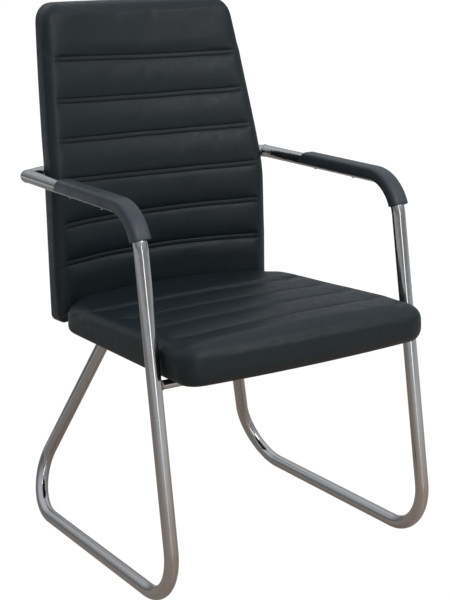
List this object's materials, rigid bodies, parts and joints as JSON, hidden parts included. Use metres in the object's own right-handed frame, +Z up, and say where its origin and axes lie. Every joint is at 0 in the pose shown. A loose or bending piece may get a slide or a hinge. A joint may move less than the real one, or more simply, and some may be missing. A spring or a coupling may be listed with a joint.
{
  "type": "sled base visitor chair",
  "caption": "Visitor chair on a bent tube sled base: padded seat and reclined back with double-stitched channels, moulded arm pads and a crossbar behind the back.",
  "frame": {"origin": "on the floor under the middle of the chair's outer box", "axes": "+Z up, the sitter faces -Y, and +X is on the right of someone who stands in front and looks at the chair; left and right in node names are that person's"},
  "size_m": [0.5674, 0.6408, 1.006],
  "materials": {
    "chrome": "bright chrome plate on steel tube",
    "zinc_plate": "zinc plated fasteners",
    "black_steel": "semi-matte black powder coat",
    "leatherette": "satin black leatherette with a fine pebble grain",
    "pad_plastic": "matte moulded black plastic",
    "plywood": "raw moulded plywood",
    "lining_fabric": "black nonwoven lining"
  },
  "bodies": {
    "root": {"left_side_tube": "chrome", "right_side_tube": "chrome", "rear_arm_crossbar": "chrome", "front_seat_crossbar": "chrome", "rear_seat_crossbar": "chrome", "left_seat_plate": "black_steel", "right_seat_plate": "black_steel", "left_back_strap": "black_steel", "right_back_strap": "black_steel", "left_crossbar_saddle": "black_steel", "right_crossbar_saddle": "black_steel", "left_arm_pad": "pad_plastic", "right_arm_pad": "pad_plastic", "left_pad_screw_rear": "zinc_plate", "left_pad_screw_front": "zinc_plate", "right_pad_screw_rear": "zinc_plate", "right_pad_screw_front": "zinc_plate", "seat_cushion": "leatherette", "seat_board": "plywood", "seat_underside_cover": "lining_fabric", "back_cushion": "leatherette", "back_board": "plywood", "back_rear_cover": "leatherette", "seat_bolt_front_left_outer": "zinc_plate", "seat_bolt_front_left_inner": "zinc_plate", "seat_bolt_rear_left_outer": "zinc_plate", "seat_bolt_rear_left_inner": "zinc_plate", "seat_bolt_front_right_inner": "zinc_plate", "seat_bolt_front_right_outer": "zinc_plate", "seat_bolt_rear_right_inner": "zinc_plate", "seat_bolt_rear_right_outer": "zinc_plate", "seat_nut_front_left_outer": "zinc_plate", "seat_nut_front_left_inner": "zinc_plate", "seat_nut_rear_left_outer": "zinc_plate", "seat_nut_rear_left_inner": "zinc_plate", "seat_nut_front_right_inner": "zinc_plate", "seat_nut_front_right_outer": "zinc_plate", "seat_nut_rear_right_inner": "zinc_plate", "seat_nut_rear_right_outer": "zinc_plate", "strap_bolt_lower_left": "zinc_plate", "strap_bolt_upper_left": "zinc_plate", "strap_bolt_lower_right": "zinc_plate", "strap_bolt_upper_right": "zinc_plate", "back_nut_lower_left": "zinc_plate", "back_nut_upper_left": "zinc_plate", "back_nut_lower_right": "zinc_plate", "back_nut_upper_right": "zinc_plate", "crossbar_bolt_left": "zinc_plate", "crossbar_bolt_right": "zinc_plate", "crossbar_nut_left": "zinc_plate", "crossbar_nut_right": "zinc_plate"}
  },
  "joints": []
}
